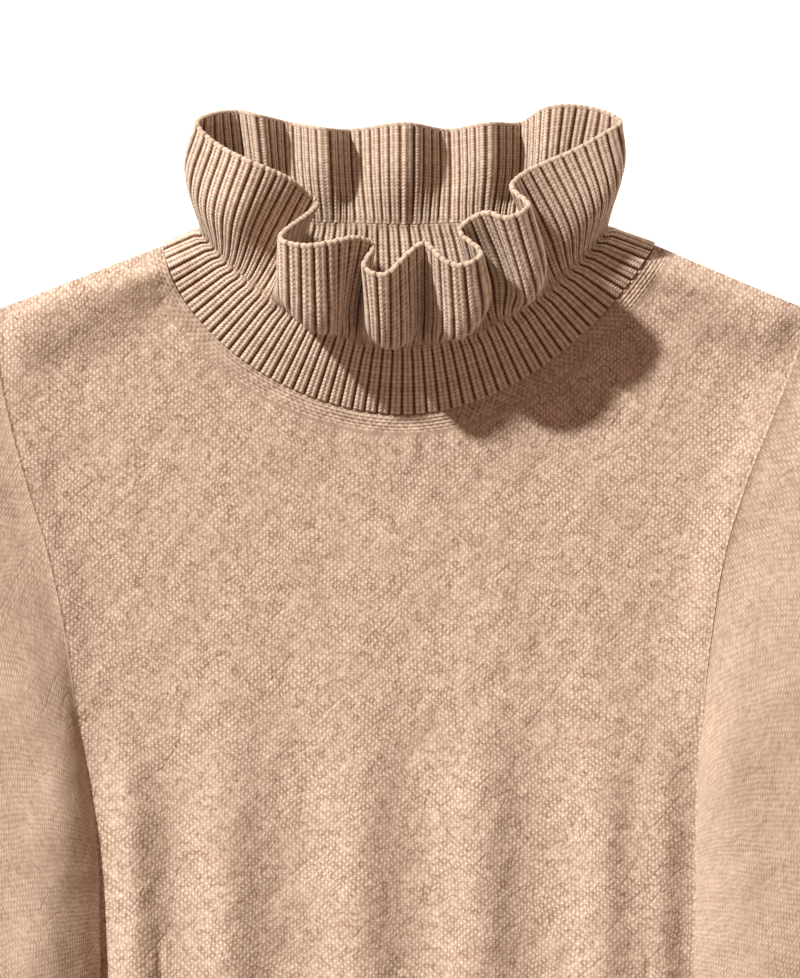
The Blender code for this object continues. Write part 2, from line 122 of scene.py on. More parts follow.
# Folds that run down the front: where the crest is, from where to where it is high, and its size.
#          x      top   full    end    height  spread
FRONT_FOLDS = (
    (-83.5, -185.0, -320.0, -480.0, 7.5, 16.0),
    (-21.0, -185.0, -320.0, -470.0, 7.5, 16.5),
    (37.5, -185.0, -320.0, -480.0, 8.0, 16.0),
    (96.5, -190.0, -320.0, -470.0, 7.5, 14.5),
    (-128.0, -440.0, -640.0, -1200.0, 6.0, 24.0),
    (-50.0, -460.0, -640.0, -1200.0, 5.0, 26.0),
    (36.0, -450.0, -640.0, -1200.0, 6.5, 24.0),
    (122.0, -450.0, -640.0, -1200.0, 5.5, 26.0),
)

# A sleeve's sections, armhole to cuff: its outer fold, how far down its inner fold is and how far
# from the torso's edge, the left and right sleeve's height, and how much the section bows along
# the armhole.
#         outer x  outer y  inner y  clear  left  right   bow
SLEEVE = (
    (197.0, -32.0, -252.0, 0.8, 3.5, 3.5, 1.0),
    (207.0, -41.0, -257.0, 1.4, 8.5, 9.5, 0.9),
    (232.0, -72.0, -270.0, 1.8, 13.5, 14.0, 0.55),
    (257.0, -128.0, -292.0, 1.8, 19.0, 16.0, 0.2),
    (270.0, -200.0, -322.0, 1.8, 24.0, 16.0, 0.0),
    (277.0, -270.0, -356.0, 1.8, 28.0, 16.0, 0.0),
    (284.0, -350.0, -402.0, 6.0, 25.0, 14.0, 0.0),
    (293.0, -430.0, -452.0, 14.0, 19.0, 13.0, 0.0),
    (304.0, -510.0, -512.0, 16.0, 14.0, 12.0, 0.0),
    (315.0, -580.0, -574.0, 17.0, 11.0, 11.0, 0.0),
    (324.0, -645.0, -634.0, 22.0, 11.0, 11.0, 0.0),
)
LEFT_HEIGHT, RIGHT_HEIGHT = 4, 5  # the two heights' columns
CLEAR = 3  # the column of the distance from the torso's edge
SLEEVE_SIDE = 40.0  # how far in from its folds a sleeve reaches its height
FOLD_SHARE = 0.3  # how high a sleeve's folds lie, as a share of its height
LINK_POWER = 6  # how soon a sleeve leaves the height of the armhole

# The ruffle's folds, clockwise from its left corner: crests turn out, valleys turn into the
# collar. Each row gives the rim, the belly between rim and throat, and the throat's x.
#                      rim                  belly            throat
#                  x      y     z       x      y     z        x
FRONT_RUFFLE = (
    ("corner_left", -98.5, 57.5, 32.0, -103.0, 37.0, 25.0, -95.5),
    ("lobe_a_left", -89.0, 47.5, 40.0, -96.5, 22.0, 29.0, -91.5),
    ("lobe_a", -72.0, 38.5, 52.0, -81.0, 13.0, 40.0, -83.5),
    ("lobe_a_right", -54.5, 31.0, 47.0, -67.5, 6.0, 32.0, -75.5),
    ("lobe_a_end", -46.5, 24.5, 39.0, -60.0, -2.0, 24.0, -69.5),
    ("valley_ab", -40.5, 18.5, 37.0, -54.5, -8.0, 23.0, -63.5),
    ("lobe_b_left", -58.5, 2.5, 66.0, -58.5, -21.0, 51.0, -56.0),
    ("lobe_b", -47.0, -1.5, 72.0, -46.5, -37.0, 50.0, -46.0),
    ("lobe_b_mid", -34.5, 0.0, 72.0, -34.0, -39.5, 48.0, -35.5),
    ("lobe_b_right", -21.5, 2.5, 66.0, -27.5, -31.5, 39.0, -26.5),
    ("valley_bc", -13.5, -1.5, 60.0, -18.5, -27.0, 31.0, -20.5),
    ("lobe_c_left", -18.5, -11.5, 69.0, -15.5, -38.5, 52.0, -15.0),
    ("lobe_c", -8.5, -15.5, 72.0, -8.0, -47.0, 50.0, -8.0),
    ("lobe_c_right", 1.0, -7.0, 69.0, 2.0, -43.5, 45.0, 0.0),
    ("valley_cd", 10.5, 0.0, 62.0, 10.5, -29.0, 33.0, 9.5),
    ("lobe_d_left", 18.5, -7.5, 69.0, 20.0, -39.0, 46.0, 18.0),
    ("lobe_d", 28.0, -11.0, 72.0, 30.0, -42.0, 50.0, 25.5),
    ("lobe_d_right", 38.0, -5.0, 70.0, 41.5, -26.5, 54.0, 33.0),
    ("valley_de", 27.0, 6.0, 60.0, 34.0, -17.0, 33.0, 41.0),
    ("lobe_e_left", 39.5, 14.5, 66.0, 52.0, -17.0, 43.0, 49.5),
    ("lobe_e", 49.5, 11.5, 71.0, 60.0, -24.5, 48.0, 57.0),
    ("lobe_e_right", 60.5, 17.5, 69.0, 68.0, -10.0, 51.0, 65.0),
    ("valley_ef", 52.0, 26.5, 54.0, 63.0, 3.0, 33.0, 72.0),
    ("lobe_f_left", 60.0, 34.5, 45.0, 75.0, 7.0, 34.0, 79.5),
    ("lobe_f", 81.5, 44.0, 38.0, 91.0, 18.0, 34.0, 88.0),
    ("lobe_f_right", 97.5, 53.0, 35.0, 101.5, 28.0, 30.0, 94.0),
    ("corner_right", 104.5, 58.5, 32.0, 105.0, 41.0, 24.0, 97.0),
)
BACK_RUFFLE = (
    ("crest_right", 90.0, 65.0, 24.0, 85.5, 41.0, 16.0, 84.5),
    ("crest_1", 71.0, 65.5, 22.0, 69.0, 38.5, 17.0, 67.0),
    ("valley_1", 57.0, 58.0, 4.0, 56.5, 35.0, 3.0, 54.0),
    ("crest_2", 41.0, 57.5, 22.0, 41.0, 35.0, 17.0, 39.5),
    ("valley_2", 22.0, 54.5, 4.0, 22.5, 32.0, 3.0, 22.0),
    ("crest_3", 1.5, 57.5, 22.0, 1.5, 33.5, 17.0, 1.5),
    ("valley_3", -24.0, 54.5, 4.0, -23.0, 32.0, 3.0, -21.0),
    ("crest_4", -37.5, 55.0, 22.0, -36.5, 33.5, 17.0, -35.0),
    ("valley_4", -54.0, 58.0, 4.0, -53.0, 35.0, 3.0, -50.5),
    ("crest_5", -69.5, 61.5, 20.0, -67.0, 38.0, 15.0, -65.0),
    ("valley_5", -79.0, 63.5, 11.0, -76.5, 41.0, 8.0, -75.0),
    ("crest_left", -91.0, 62.0, 25.0, -90.0, 43.0, 17.0, -86.5),
)
# The collar's levels: -1 at the neck seam, 0 at the throat, 1 at the ruffle's rim.
BELLY_LEVEL = 0.45
STRAIGHT_LEVEL = -0.25  # the neckband is straight up to here
FRONT_POWERS = (0.9, 0.6)  # how round the throat's front arc is, in y and in z
TURN_ROUNDING = 1.2
TIGHTEST = 0.6  # the wall's reach from its middle, as a share of the bend's radius
COLUMN_STEP = 0.2  # steps along and up the collar that give its surface's direction
LEVEL_STEP = 0.02
INSET_Y = 1.0  # how far below the neckline the neckband takes the front's height

# -------- measures of the dressing alone

WALE = 3.4  # width of a plain-knit column
COURSE = 2.9  # height of a plain-knit row
RIB_COURSE = 1.8
FASHION_BAND = 10.2  # how far the wales follow the neckline

# Panels: columns, rows where the photograph shows the panel, and rows below them.
FRONT_GRID = (212, 150, 66)
BACK_GRID = (120, 80, 50)
SEEN_SHARE = 0.42  # of the length
EDGE_SHARE = 0.65  # how far the columns are spaced by the top edge and not by the width

# Uneven waves: size, height, and how much closer together they lie across and down.
#        seed  size  height  across  down
FRONT_WAVES = (
    (3, 46.0, 0.35, 1.0, 0.5),
    (5, 15.0, 0.16, 1.0, 0.8),
)
SLEEVE_WAVES = (
    (0, 44.0, 0.5, 1.2, 0.6),
    (5, 16.0, 0.2, 1.0, 1.0),
)
LEFT_SEED, RIGHT_SEED = 22, 21  # where the seeds of a sleeve's waves start
PLAIN_EDGE = (14.0, 10.0)  # how far in from its sides and its top the front is smooth

# Beside the neckline: height, distance and spread of each ridge, then the puckers along it.
SEAM_RIDGES = ((0.6, 1.6, 0.9), (-0.4, 3.4, 0.9), (-0.25, FASHION_BAND, 2.2))
PUCKER = (0.25, 14.0, 10.0)
PUCKER_PITCH = 9.0
NECK_MARGIN = 70.0  # how far below the neckline distances to it are worked out
NECK_ASIDE = 40.0  # how far past its ends
NECK_LOWEST = -130.0
FAR_OFF = 999.0  # stands for any greater distance

# Sharp creases pressed into the skirt: their two ends, depth and half width.
#        x      y       x      y     depth  width
CREASES = (
    (-117.0, -322.0, -114.0, -395.0, 1.6, 1.6),
    (117.0, -326.0, 120.0, -402.0, 1.6, 1.6),
    (-60.0, -470.0, -72.0, -640.0, 1.2, 2.2),
    (70.0, -450.0, 84.0, -590.0, 1.2, 2.2),
    (8.0, -560.0, 2.0, -760.0, 1.2, 2.4),
)
CREASE_OPEN = 0.35  # the shares of its length where a crease is fully open and starts to close
CREASE_CLOSE = 0.75

# Sleeves
SLEEVE_GRID = (180, 170)  # points around, sections
SLEEVE_CLOSE = 2.05  # how much nearer to the torso a sleeve's shell lies than its solid
CLOSEST = -0.5  # the least distance from the torso's edge, here just under the front's edge
ARMHOLE_CLOSE = -0.3  # how far the outer fold is moved out
SIDE_POWER = 0.75  # how evenly points go round a section
UNDER_POWER = 0.6  # how flat a section is below
TOP_START, TOP_FULL = 0.15, 0.6  # where round a section the waves of its top start
WAVE_START, WAVE_FULL, WAVE_END = 0.02, 0.12, 0.985  # and where down the sleeve
FOLD_ANGLE = 50.0  # faces that meet at more degrees than this aren't shaded as one

# Collar
SEAM_CLOSE = -1.2  # how far past the neckline's solid edge the neckband's shell starts
HALF_RIB = 0.39  # half the width of a knit column, as a share of the rib repeat
RIB_SIDE = 0.09  # half the width of its flank
RIB_GROOVE = (0.12, 0.0, 0.08)  # height, place and spread of the groove between its two strands
RIB_DEPTH = 1.35
INNER_RIB = 0.8  # the inner face's ribs, as a share of the outer face's
RIM_LEVEL = 0.965  # where the ribs start to flatten into the rim
RIM_FLAT = 0.6
RIM_WALL = 2.5
RIM_SWELL = 0.1
JOIN_SPREAD = 0.035  # the ribs also flatten at the throat, where neckband and ruffle are joined
JOIN_FLAT = 0.7
JOIN_RISE = 0.15
BACK_SEAM_KNOT = len(FRONT_RUFFLE) + 5  # the fold that has the seam inside, and the seam's size
BACK_SEAM = (0.9, 0.0, 0.35)
RIB_POINTS = (12, 10)  # points across a rib of the neckband and of the ruffle
EVEN_LEVELS = (-0.9, 1.0)  # where the ribs of each are evenly spaced
RIM_ROWS = 6
NEAR_THROAT = np.array([0.0004, 0.012, 0.025])  # levels of the rows beside the throat
EVEN_FROM = 0.04  # the level from which rows are evenly spaced
NECKBAND_ROWS, RUFFLE_ROWS = 31, 36

# How many points measure each curve, and how many are compared at once.
EDGE_POINTS, NECKLINE_POINTS, SEAM_POINTS, THROAT_POINTS, RIM_POINTS = 4001, 1600, 401, 1200, 3000
POINTS_AT_ONCE = 4000

# Where the solids' plan lies in the frame: the back panel's lower edge is the hem.
SHIFT_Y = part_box("back")[0][1] / MM - HEM_Y

# -------- looks

# The yarn's colours: painted shade for the gaps between stitches, the plain yarn, and a painted
# highlight for the strands' tops.
YARN_SHADED = (0.15, 0.06, 0.027)
YARN = (0.57, 0.44, 0.33)
YARN_AT = 0.55
YARN_HIGHLIT = (0.84, 0.74, 0.635)
YARN_FINISH = {
    "Roughness": 0.95,
    "Specular IOR Level": 0.15,
    "Sheen Weight": 0.12,
    "Sheen Roughness": 0.6,
}

# Noises: features a metre, detail, roughness, how many times longer than wide, and turn.
#                 scale  detail  rough  long  turn
NOISES = {
    "wale_sway": (30.0, 1.0, 0.5, 1.0, 0.0),
    "wale_wobble": (150.0, 2.0, 0.5, 1.0, 0.0),
    "course_sway": (28.0, 1.0, 0.5, 1.0, 1.0),
    "course_wobble": (140.0, 2.0, 0.5, 1.0, 2.0),
    "clearness": (60.0, 1.0, 0.5, 1.0, 1.5),
    "nap": (330.0, 2.0, 0.5, 1.0, 0.0),
    "soft_folds": (105.0, 2.0, 0.55, 2.0, 0.9),
    "wrinkles": (95.0, 0.0, 0.5, 4.5, 0.9),
    "wrinkled": (60.0, 1.0, 0.5, 1.0, 0.3),
    "patches": (24.0, 2.0, 0.5, 1.0, 0.0),
    "row_sway": (150.0, 1.0, 0.5, 1.0, 0.0),
    "rib_nap": (420.0, 2.0, 0.5, 1.0, 0.0),
}

# Plain knit: how far wales and courses wander, in stitches.
WALE_SWAY, WALE_WOBBLE = 1.5, 0.9
COURSE_SWAY, COURSE_WOBBLE = 2.2, 1.1
BAND_EDGE = 0.8  # half the distance over which the wales stop following the neckline
BAND_FADE = 4.0  # how far in from there their ridges fade
# The clearness noise's low and high values, and how strongly the stitches' painted shade and
# highlight show at each.
FAINT, CLEARLY = (0.35, 0.3), (0.65, 0.5)  # a value of the clearness and the contrast there
WRINKLE_HALF = 0.045
WRINKLED = (0.48, 0.64)
LATTICE, STRANDS, ROWS = 0.34, 0.22, 0.1  # what makes up a plain stitch

# How much each part of the plain knit adds to its shade and to its height. In the shade,
# wrinkles paints shade into the wrinkles and ridges paints shade between the band's ridges;
# strands, stitches, nap and patches are tones that differ at random.
KNIT_SHADE = dict(
    strands=0.18, stitches=0.1, nap=0.24, patches=0.05, wrinkles=-0.05, ridges=0.13, base=0.37
)
KNIT_HEIGHT = dict(knit=0.35, nap=0.4, folds=2.0, wrinkles=-0.45, ridges=0.7)
KNIT_BUMP = (0.0007, 0.5)  # metres, strength
SLEEVE_CLARITY = 0.65  # how clearly stitches show on sleeves and back, against the front

# Rib: distances out from its middle are shares of its repeat, those along it of a row.
GROOVE_SIDE = -0.04
STRAND_CLIMB = 1.8  # rows that a strand climbs, to a repeat
COLUMN_EDGE = (0.07, -0.05)
HOLE_OUT, HOLE_ROWS = (0.16, 0.05), (-0.5, 0.6)
PURL_ROWS, PURL_SHARE = (-0.2, 0.9), 0.4
STRAND, BAR, RIB_BASE = 0.34, 0.24, 0.48  # what makes up a stitch
ROW_SWAY = 0.5

# How much each part of the rib adds to its shade and to its height. In the shade, weave and
# column paint shade into the purl gaps and a highlight on the strands, and holes paints shade
# into the holes between the strands; nap and strands are tones that differ at random.
RIB_SHADE = dict(
    weave=0.4, column=0.38, holes=-0.4, base=-0.08, nap=0.36, strands=0.14, shift=-0.02
)
RIB_RELIEF = dict(weave=0.6, column=0.5, holes=-0.8, nap=0.5)
RIB_BUMP = (0.0009, 0.6)
BEND_SHADE, BEND_SHARE = 0.38, 0.85  # of the throat's bend, and how much of it shows
BEND_COURSES = 2.6
RIM_SHADE, RIM_COLUMN = 0.4, 0.06
RIM_BELOW = (0.5, 0.1)  # how far below the top row the plain rim starts and is full

# Floor, camera and light, in metres; the light's angle is in radians.
FLOOR_HALF = 4.0
FLOOR_Z = -0.0005
FLOOR_LOOK = {
    "Base Color": (0.88, 0.88, 0.88, 1.0),
    "Roughness": 0.9,
    "Specular IOR Level": 0.1,
    "Emission Color": (1.0, 1.0, 1.0, 1.0),
    "Emission Strength": 0.86,
}
VIEW_CENTRE = (-0.001, 0.2897)
VIEW_HEIGHT = 0.4694
CAMERA_HEIGHT = 8.0
SENSOR = 24.0
LIGHT_WAY = (-0.57, 0.59, 0.58)
LIGHT_STRENGTH = 6.0
LIGHT_ANGLE = 0.055
SKY = (1.0, 0.68, 0.54, 1.0)
SKY_STRENGTH = 0.39

# -------- curves


def spline(knots, values, at, period=None):
    """Values on a smooth curve through (knots, values); the curve closes after period."""
    knots = np.asarray(knots, float)
    values = np.asarray(values, float).reshape(len(knots), -1)
    at = np.atleast_1d(np.asarray(at, float))
    if period:
        knots = np.concatenate([knots[-2:] - period, knots, knots[:2] + period])
        values = np.concatenate([values[-2:], values, values[:2]])
        at = at % period
    slopes = np.empty_like(values)
    slopes[1:-1] = (values[2:] - values[:-2]) / (knots[2:] - knots[:-2])[:, None]
    slopes[0] = (values[1] - values[0]) / (knots[1] - knots[0])
    slopes[-1] = (values[-1] - values[-2]) / (knots[-1] - knots[-2])
    i = np.clip(np.searchsorted(knots, at, side="right") - 1, 0, len(knots) - 2)
    step = (knots[i + 1] - knots[i])[:, None]
    s = ((at - knots[i]) / step[:, 0])[:, None]
    return (
        (2 * s**3 - 3 * s**2 + 1) * values[i]
        + (s**3 - 2 * s**2 + s) * step * slopes[i]
        + (3 * s**2 - 2 * s**3) * values[i + 1]
        + (s**3 - s**2) * step * slopes[i + 1]
    )


def smoothstep(low, high, value):
    """0 at low, 1 at high, smooth between; low may be the greater."""
    s = np.clip((value - low) / (high - low), 0.0, 1.0)
    return s * s * (3 - 2 * s)


def bell(distance, spread):
    """1 at no distance, falling off smoothly to either side."""
    return np.exp(-((distance / spread) ** 2))


def ridge(distance, height, inset, spread):
    """A bell of some height whose middle is inset from where the distance is 0."""
    return height * bell(distance - inset, spread)


def lengths(points, closed=False):
    """Distance along a polyline to each of its points, and its whole length."""
    following = np.roll(points, -1, axis=0) if closed else points[1:]
    steps = np.linalg.norm(following - points[: len(following)], axis=1)
    along = np.concatenate([[0.0], np.cumsum(steps)])
    return (along[:-1], along[-1]) if closed else (along, along[-1])


def ripples(x, y, seed, size, count=14):
    """Smooth uneven waves of about -1 to 1, the same every run."""
    source = np.random.default_rng(seed)
    total = np.zeros(np.broadcast(x, y).shape)
    for _ in range(count):
        angle, phase, stretch = source.uniform((0.0, 0.0, 0.7), (np.pi, 2 * np.pi, 1.6))
        way = (x * np.cos(angle) + y * np.sin(angle)) / (size * stretch)
        total = total + np.sin(2 * np.pi * way + phase)
    return total / np.sqrt(count)


# -------- the torso's outline


def torso_edge(y, right):
    """How far the torso's edge is from x = 0 at each y, on its right or its left side."""
    ys, *sides = np.array(TORSO).T
    down = -np.minimum(np.asarray(y, float), ys[0])
    left_edge, right_edge = [spline(-ys, xs, down.ravel()).reshape(down.shape) for xs in sides]
    return np.where(right, right_edge, left_edge)


def neckline(x, depth):
    """How far down the neckline is at x."""
    half = np.where(x < 0, NECK_LEFT, NECK_RIGHT)
    across = np.clip(np.abs(x) / half, 0.0, 1.0)
    shapes = (NECK_SHAPE_LEFT, NECK_SHAPE_RIGHT)
    left, right = [(1 - across**flat) ** steep for flat, steep in shapes]
    return -depth * np.where(x < 0, left, right)


def shoulder_line(x):
    """The shoulder's slope, carried on over the neck."""
    half = np.where(x < 0, NECK_LEFT, NECK_RIGHT)
    return -SHOULDER_DROP * np.minimum((np.abs(x) - half) / (SHOULDER_X - half), 1.0)


def top_edge(x, depth):
    """A panel's top edge: its neckline between its shoulders."""
    half = np.where(x < 0, NECK_LEFT, NECK_RIGHT)
    return np.where(np.abs(x) < half, neckline(x, depth), shoulder_line(x))


def armhole_height(y, right):
    """Height of the outer faces where the front and a sleeve are linked."""
    along = np.clip((y + SHOULDER_DROP) / (UNDERARM_Y + SHOULDER_DROP), 0.0, 1.0)
    swell = np.where(right, RIGHT_SWELL, LEFT_SWELL)
    return FLAT_SEAM + swell * (4 * along * (1 - along)) ** SWELL_POWER


def front_height(x, y):
    """Height of the front panel's outer face over the surface that the dress lies on."""
    side = torso_edge(y, x > 0) - np.abs(x)
    shoulder = np.maximum(shoulder_line(x) - y, 0.0)
    below_neck = np.maximum(neckline(x, FRONT_NECK_DEPTH) - y, 0.0)
    near_neck = smoothstep(*NECK_REACH, np.abs(x))
    below_underarm = smoothstep(*SIDE_ROLLS, y)
    roll = np.where(x > 0, ridge(side, *RIGHT_ROLL), ridge(side, *LEFT_ROLL))
    height = FRONT_LOFT + near_neck * ridge(below_neck, *NECK_LIFT)
    height = height + below_underarm * roll + ridge(shoulder, *SHOULDER_ROLL)
    height = height + (1 - near_neck) * ridge(shoulder, *SHOULDER_FOLD)
    for crest_x, top, full, end, tall, spread in FRONT_FOLDS:
        fading = smoothstep(full + FOLD_FADE * (end - full), end, y)
        strength = smoothstep(top, full, y) * (1 - fading)
        height = height + strength * ridge(x, tall, crest_x, spread)
    at_hem = smoothstep(HEM_LIFT_START, HEM_Y, y)
    height = height + HEM_LIFT * at_hem * smoothstep(0.0, HEM_EASE, side)
    rounding = ARMHOLE_ROUNDING + (ROUNDING - ARMHOLE_ROUNDING) * below_underarm
    at_side = bell(np.maximum(side, 0.0), rounding)
    height = height + at_side * (armhole_height(y, x > 0) - FLAT_SEAM - height)
    at_edge = SHOULDER_EDGE + (ROUNDING - SHOULDER_EDGE) * near_neck
    return FLAT_SEAM + (1 - bell(shoulder, at_edge)) * height


# -------- meshes


def put(name, data):
    """A new object in the scene, for a mesh, a camera or a light."""
    thing = bpy.data.objects.new(name, data)
    bpy.context.scene.collection.objects.link(thing)
    return thing


def shell(name, outer, inner, around, maps, rim=None, inner_turn=0.0):
    """A closed thin wall between two grids of points, as rows of columns; around joins the last
    column to the first. maps holds each texture map's u and v, with one column more if around.
    rim adds rows of points that round the wall's last edge. The inner face's maps are inner_turn
    further on in u."""
    grid = np.concatenate([outer] + ([rim] if rim is not None else []) + [inner[::-1]])
    rows, columns = grid.shape[:2]
    # The row of the maps for each row of the grid: the rim takes the outer face's last.
    map_rows = list(range(len(outer)))
    map_rows = map_rows + [len(outer) - 1] * (rows - 2 * len(outer)) + map_rows[::-1]
    turn = np.zeros((rows, 1, 2))
    turn[rows - len(outer) :, :, 0] = inner_turn
    strips = columns if around else columns - 1
    r, c = np.meshgrid(np.arange(rows), np.arange(strips), indexing="ij")
    r_next, c_next = (r + 1) % rows, (c + 1) % columns
    corners = [(r, c), (r, c_next), (r_next, c_next), (r_next, c)]
    faces = np.stack([a * columns + b for a, b in corners], axis=-1).reshape(-1, 4)
    map_corners = [(r, c), (r, c + 1), (r_next, c + 1), (r_next, c)]
    # The faces that close the wall's ends aren't shaded smooth.
    ends = (len(outer) - 1, rows - 1) if rim is None else (rows - 1,)
    at_end = np.isin(r, ends).ravel()
    faces, sides = faces.tolist(), []
    if not around:
        # Each face that closes a side has the rows of its corners, and its column.
        for k in range(len(outer) - 1):
            far = rows - 1 - k
            sides.append(((far, far - 1, k + 1, k), 0))
            sides.append(((k, k + 1, far - 1, far), columns - 1))
        faces += [[row * columns + column for row in side_rows] for side_rows, column in sides]
    mesh = bpy.data.meshes.new(name)
    mesh.from_pydata((grid.reshape(-1, 3) + (0.0, SHIFT_Y, 0.0)) * MM, [], faces)
    for map_name, uv in maps.items():
        by_row = uv[np.array(map_rows)] + turn
        values = np.stack([by_row[a, b] for a, b in map_corners], axis=2).reshape(-1, 2)
        if sides:
            more = [[by_row[row, column] for row in side_rows] for side_rows, column in sides]
            values = np.concatenate([values, np.array(more).reshape(-1, 2)])
        mesh.uv_layers.new(name=map_name).data.foreach_set("uv", values.astype(np.float32).ravel())
    smooth = np.concatenate([~at_end, np.zeros(len(faces) - len(at_end), bool)])
    mesh.polygons.foreach_set("use_smooth", smooth)
    mesh.update()
    return put(name, mesh)


# -------- panels


def panel_columns(count, depth):
    """Places across a panel, even along its top edge and across its width alike."""
    x = np.linspace(-SHOULDER_X, SHOULDER_X, EDGE_POINTS)
    edge = np.stack([x, top_edge(x, depth)], axis=-1)
    along, whole = lengths(edge)
    across = (x - x[0]) / (x[-1] - x[0])
    mixed = EDGE_SHARE * along / whole + (1 - EDGE_SHARE) * across
    return np.interp(np.linspace(0, 1, count), mixed, x) / SHOULDER_X


def panel_grid(depth, columns, seen_rows, far_rows):
    """x and y of a panel's grid, from its top edge down to the hem; finer where it is seen."""
    across = panel_columns(columns, depth)
    seen = np.linspace(0, SEEN_SHARE, seen_rows)
    down = np.concatenate([seen, np.linspace(SEEN_SHARE, 1, far_rows + 1)[1:]])
    top = top_edge(across * SHOULDER_X, depth)
    y = top[None, :] + (HEM_Y - top[None, :]) * down[:, None]
    x = across[None, :] * torso_edge(y, (across > 0)[None, :])
    return x, y


def waves(table, x, y, first_seed=0):
    """Height of the uneven waves in a table."""
    parts = [
        height * ripples(x * across, y * down, first_seed + seed, size)
        for seed, size, height, across, down in table
    ]
    return sum(parts[1:], parts[0])


def crease_depth(x, y):
    """How deep the skirt's pressed creases are at each point."""
    depth = np.zeros_like(x)
    for x0, y0, x1, y1, deep, wide in CREASES:
        way = np.array([x1 - x0, y1 - y0])
        long = np.hypot(*way)
        along = ((x - x0) * way[0] + (y - y0) * way[1]) / long**2
        aside = np.abs((x - x0) * way[1] - (y - y0) * way[0]) / long
        open_by = smoothstep(0.0, CREASE_OPEN, along) * (1 - smoothstep(CREASE_CLOSE, 1.0, along))
        depth = depth + deep * open_by * bell(aside, wide)
    return depth


def distance_to_neckline(x, y):
    """How far each point is from the front neckline, and how far along it its nearest point is."""
    line_x = np.linspace(-NECK_LEFT, NECK_RIGHT, NECKLINE_POINTS)
    line = np.stack([line_x, neckline(line_x, FRONT_NECK_DEPTH)], axis=-1)
    along = lengths(line)[0]
    off = np.full(x.shape, FAR_OFF)
    at = np.zeros(x.shape)
    near = neckline(x, FRONT_NECK_DEPTH) - y < NECK_MARGIN
    near &= (np.abs(x) < NECK_RIGHT + NECK_ASIDE) & (y > NECK_LOWEST)
    points = np.stack([x[near], y[near]], axis=-1)
    gaps, places = [], []
    for part in np.array_split(points, len(points) // POINTS_AT_ONCE + 1):
        squares = ((part[:, None, :] - line[None, :, :]) ** 2).sum(axis=-1)
        gaps.append(np.sqrt(squares.min(axis=1)))
        places.append(along[squares.argmin(axis=1)])
    off[near] = np.concatenate(gaps)
    at[near] = np.concatenate(places)
    return off, at


def front():
    x, y = panel_grid(FRONT_NECK_DEPTH, *FRONT_GRID)
    side = torso_edge(y, x > 0) - np.abs(x)
    below = top_edge(x, FRONT_NECK_DEPTH) - y
    inside = smoothstep(0.0, PLAIN_EDGE[0], side) * smoothstep(0.0, PLAIN_EDGE[1], below)
    off, along = distance_to_neckline(x, y)
    z = front_height(x, y) + inside * waves(FRONT_WAVES, x, y) - inside * crease_depth(x, y)
    for seam_ridge in SEAM_RIDGES:
        z = z + ridge(off, *seam_ridge)
    z = z + inside * ridge(off, *PUCKER) * np.sin(along * 2 * np.pi / PUCKER_PITCH)
    outer = np.stack([x, y, z], axis=-1)
    maps = {
        "knit": np.stack([x / WALE, y / COURSE], axis=-1)[:, ::-1],
        "seam": np.stack([along / COURSE, off], axis=-1)[:, ::-1],
    }
    outer = outer[:, ::-1]
    return shell("front_knit", outer, outer - (0.0, 0.0, WALL), False, maps)


def back():
    x, y = panel_grid(BACK_NECK_DEPTH, *BACK_GRID)
    outer = np.stack([x, y, np.zeros_like(x)], axis=-1)
    maps = {"knit": np.stack([x / WALE, y / COURSE], axis=-1)}
    return shell("back_knit", outer, outer + (0.0, 0.0, WALL), False, maps)


# -------- sleeves


def armhole(along, right):
    """Plan points of the armhole from the shoulder, 0, to the underarm, 1."""
    y = -SHOULDER_DROP + (UNDERARM_Y + SHOULDER_DROP) * along
    return np.stack([torso_edge(y, right), y], axis=-1)


def sleeve_section(turn, right, outer_x, outer_y, inner_y, clear, height, bow):
    """Outer and inner rings of points of one flattened section, drawn on the right side."""
    across = 0.5 - 0.5 * np.sign(np.cos(turn)) * np.abs(np.cos(turn)) ** SIDE_POWER
    outer_fold = np.array([outer_x + ARMHOLE_CLOSE, outer_y])
    inner_fold = np.array([float(torso_edge(inner_y, right)) + clear, inner_y])
    width = np.linalg.norm(inner_fold - outer_fold)
    ends = armhole(np.array([0.0, 1.0]), right)
    fold_height = max(WALL + PANEL_GAP / 2, FOLD_SHARE * height)
    on_top = np.sin(turn) > 0
    from_fold = width * np.minimum(across, 1 - across)
    swell = np.sin(np.pi / 2 * np.clip(from_fold / SLEEVE_SIDE, 0.0, 1.0))
    under = -np.abs(np.sin(turn)) ** (UNDER_POWER * (1 - (FLAT_SEAM / height) ** 2))
    linked = bow**LINK_POWER

    def ring(across, wall):
        chord = outer_fold + across[:, None] * (inner_fold - outer_fold)
        bowed = armhole(across, right) - (ends[0] + across[:, None] * (ends[1] - ends[0]))
        plan = chord + bow * bowed
        seam = armhole_height(armhole(across, right)[:, 1], right) - wall
        top = fold_height + swell * (height - wall - fold_height)
        top = linked * seam + (1 - linked) * top
        z = np.where(on_top, top, fold_height + under * (fold_height - wall))
        return np.concatenate([plan, z[:, None]], axis=1)

    inset = WALL / width
    return ring(across, 0.0), ring(inset + across * (1 - 2 * inset), WALL)


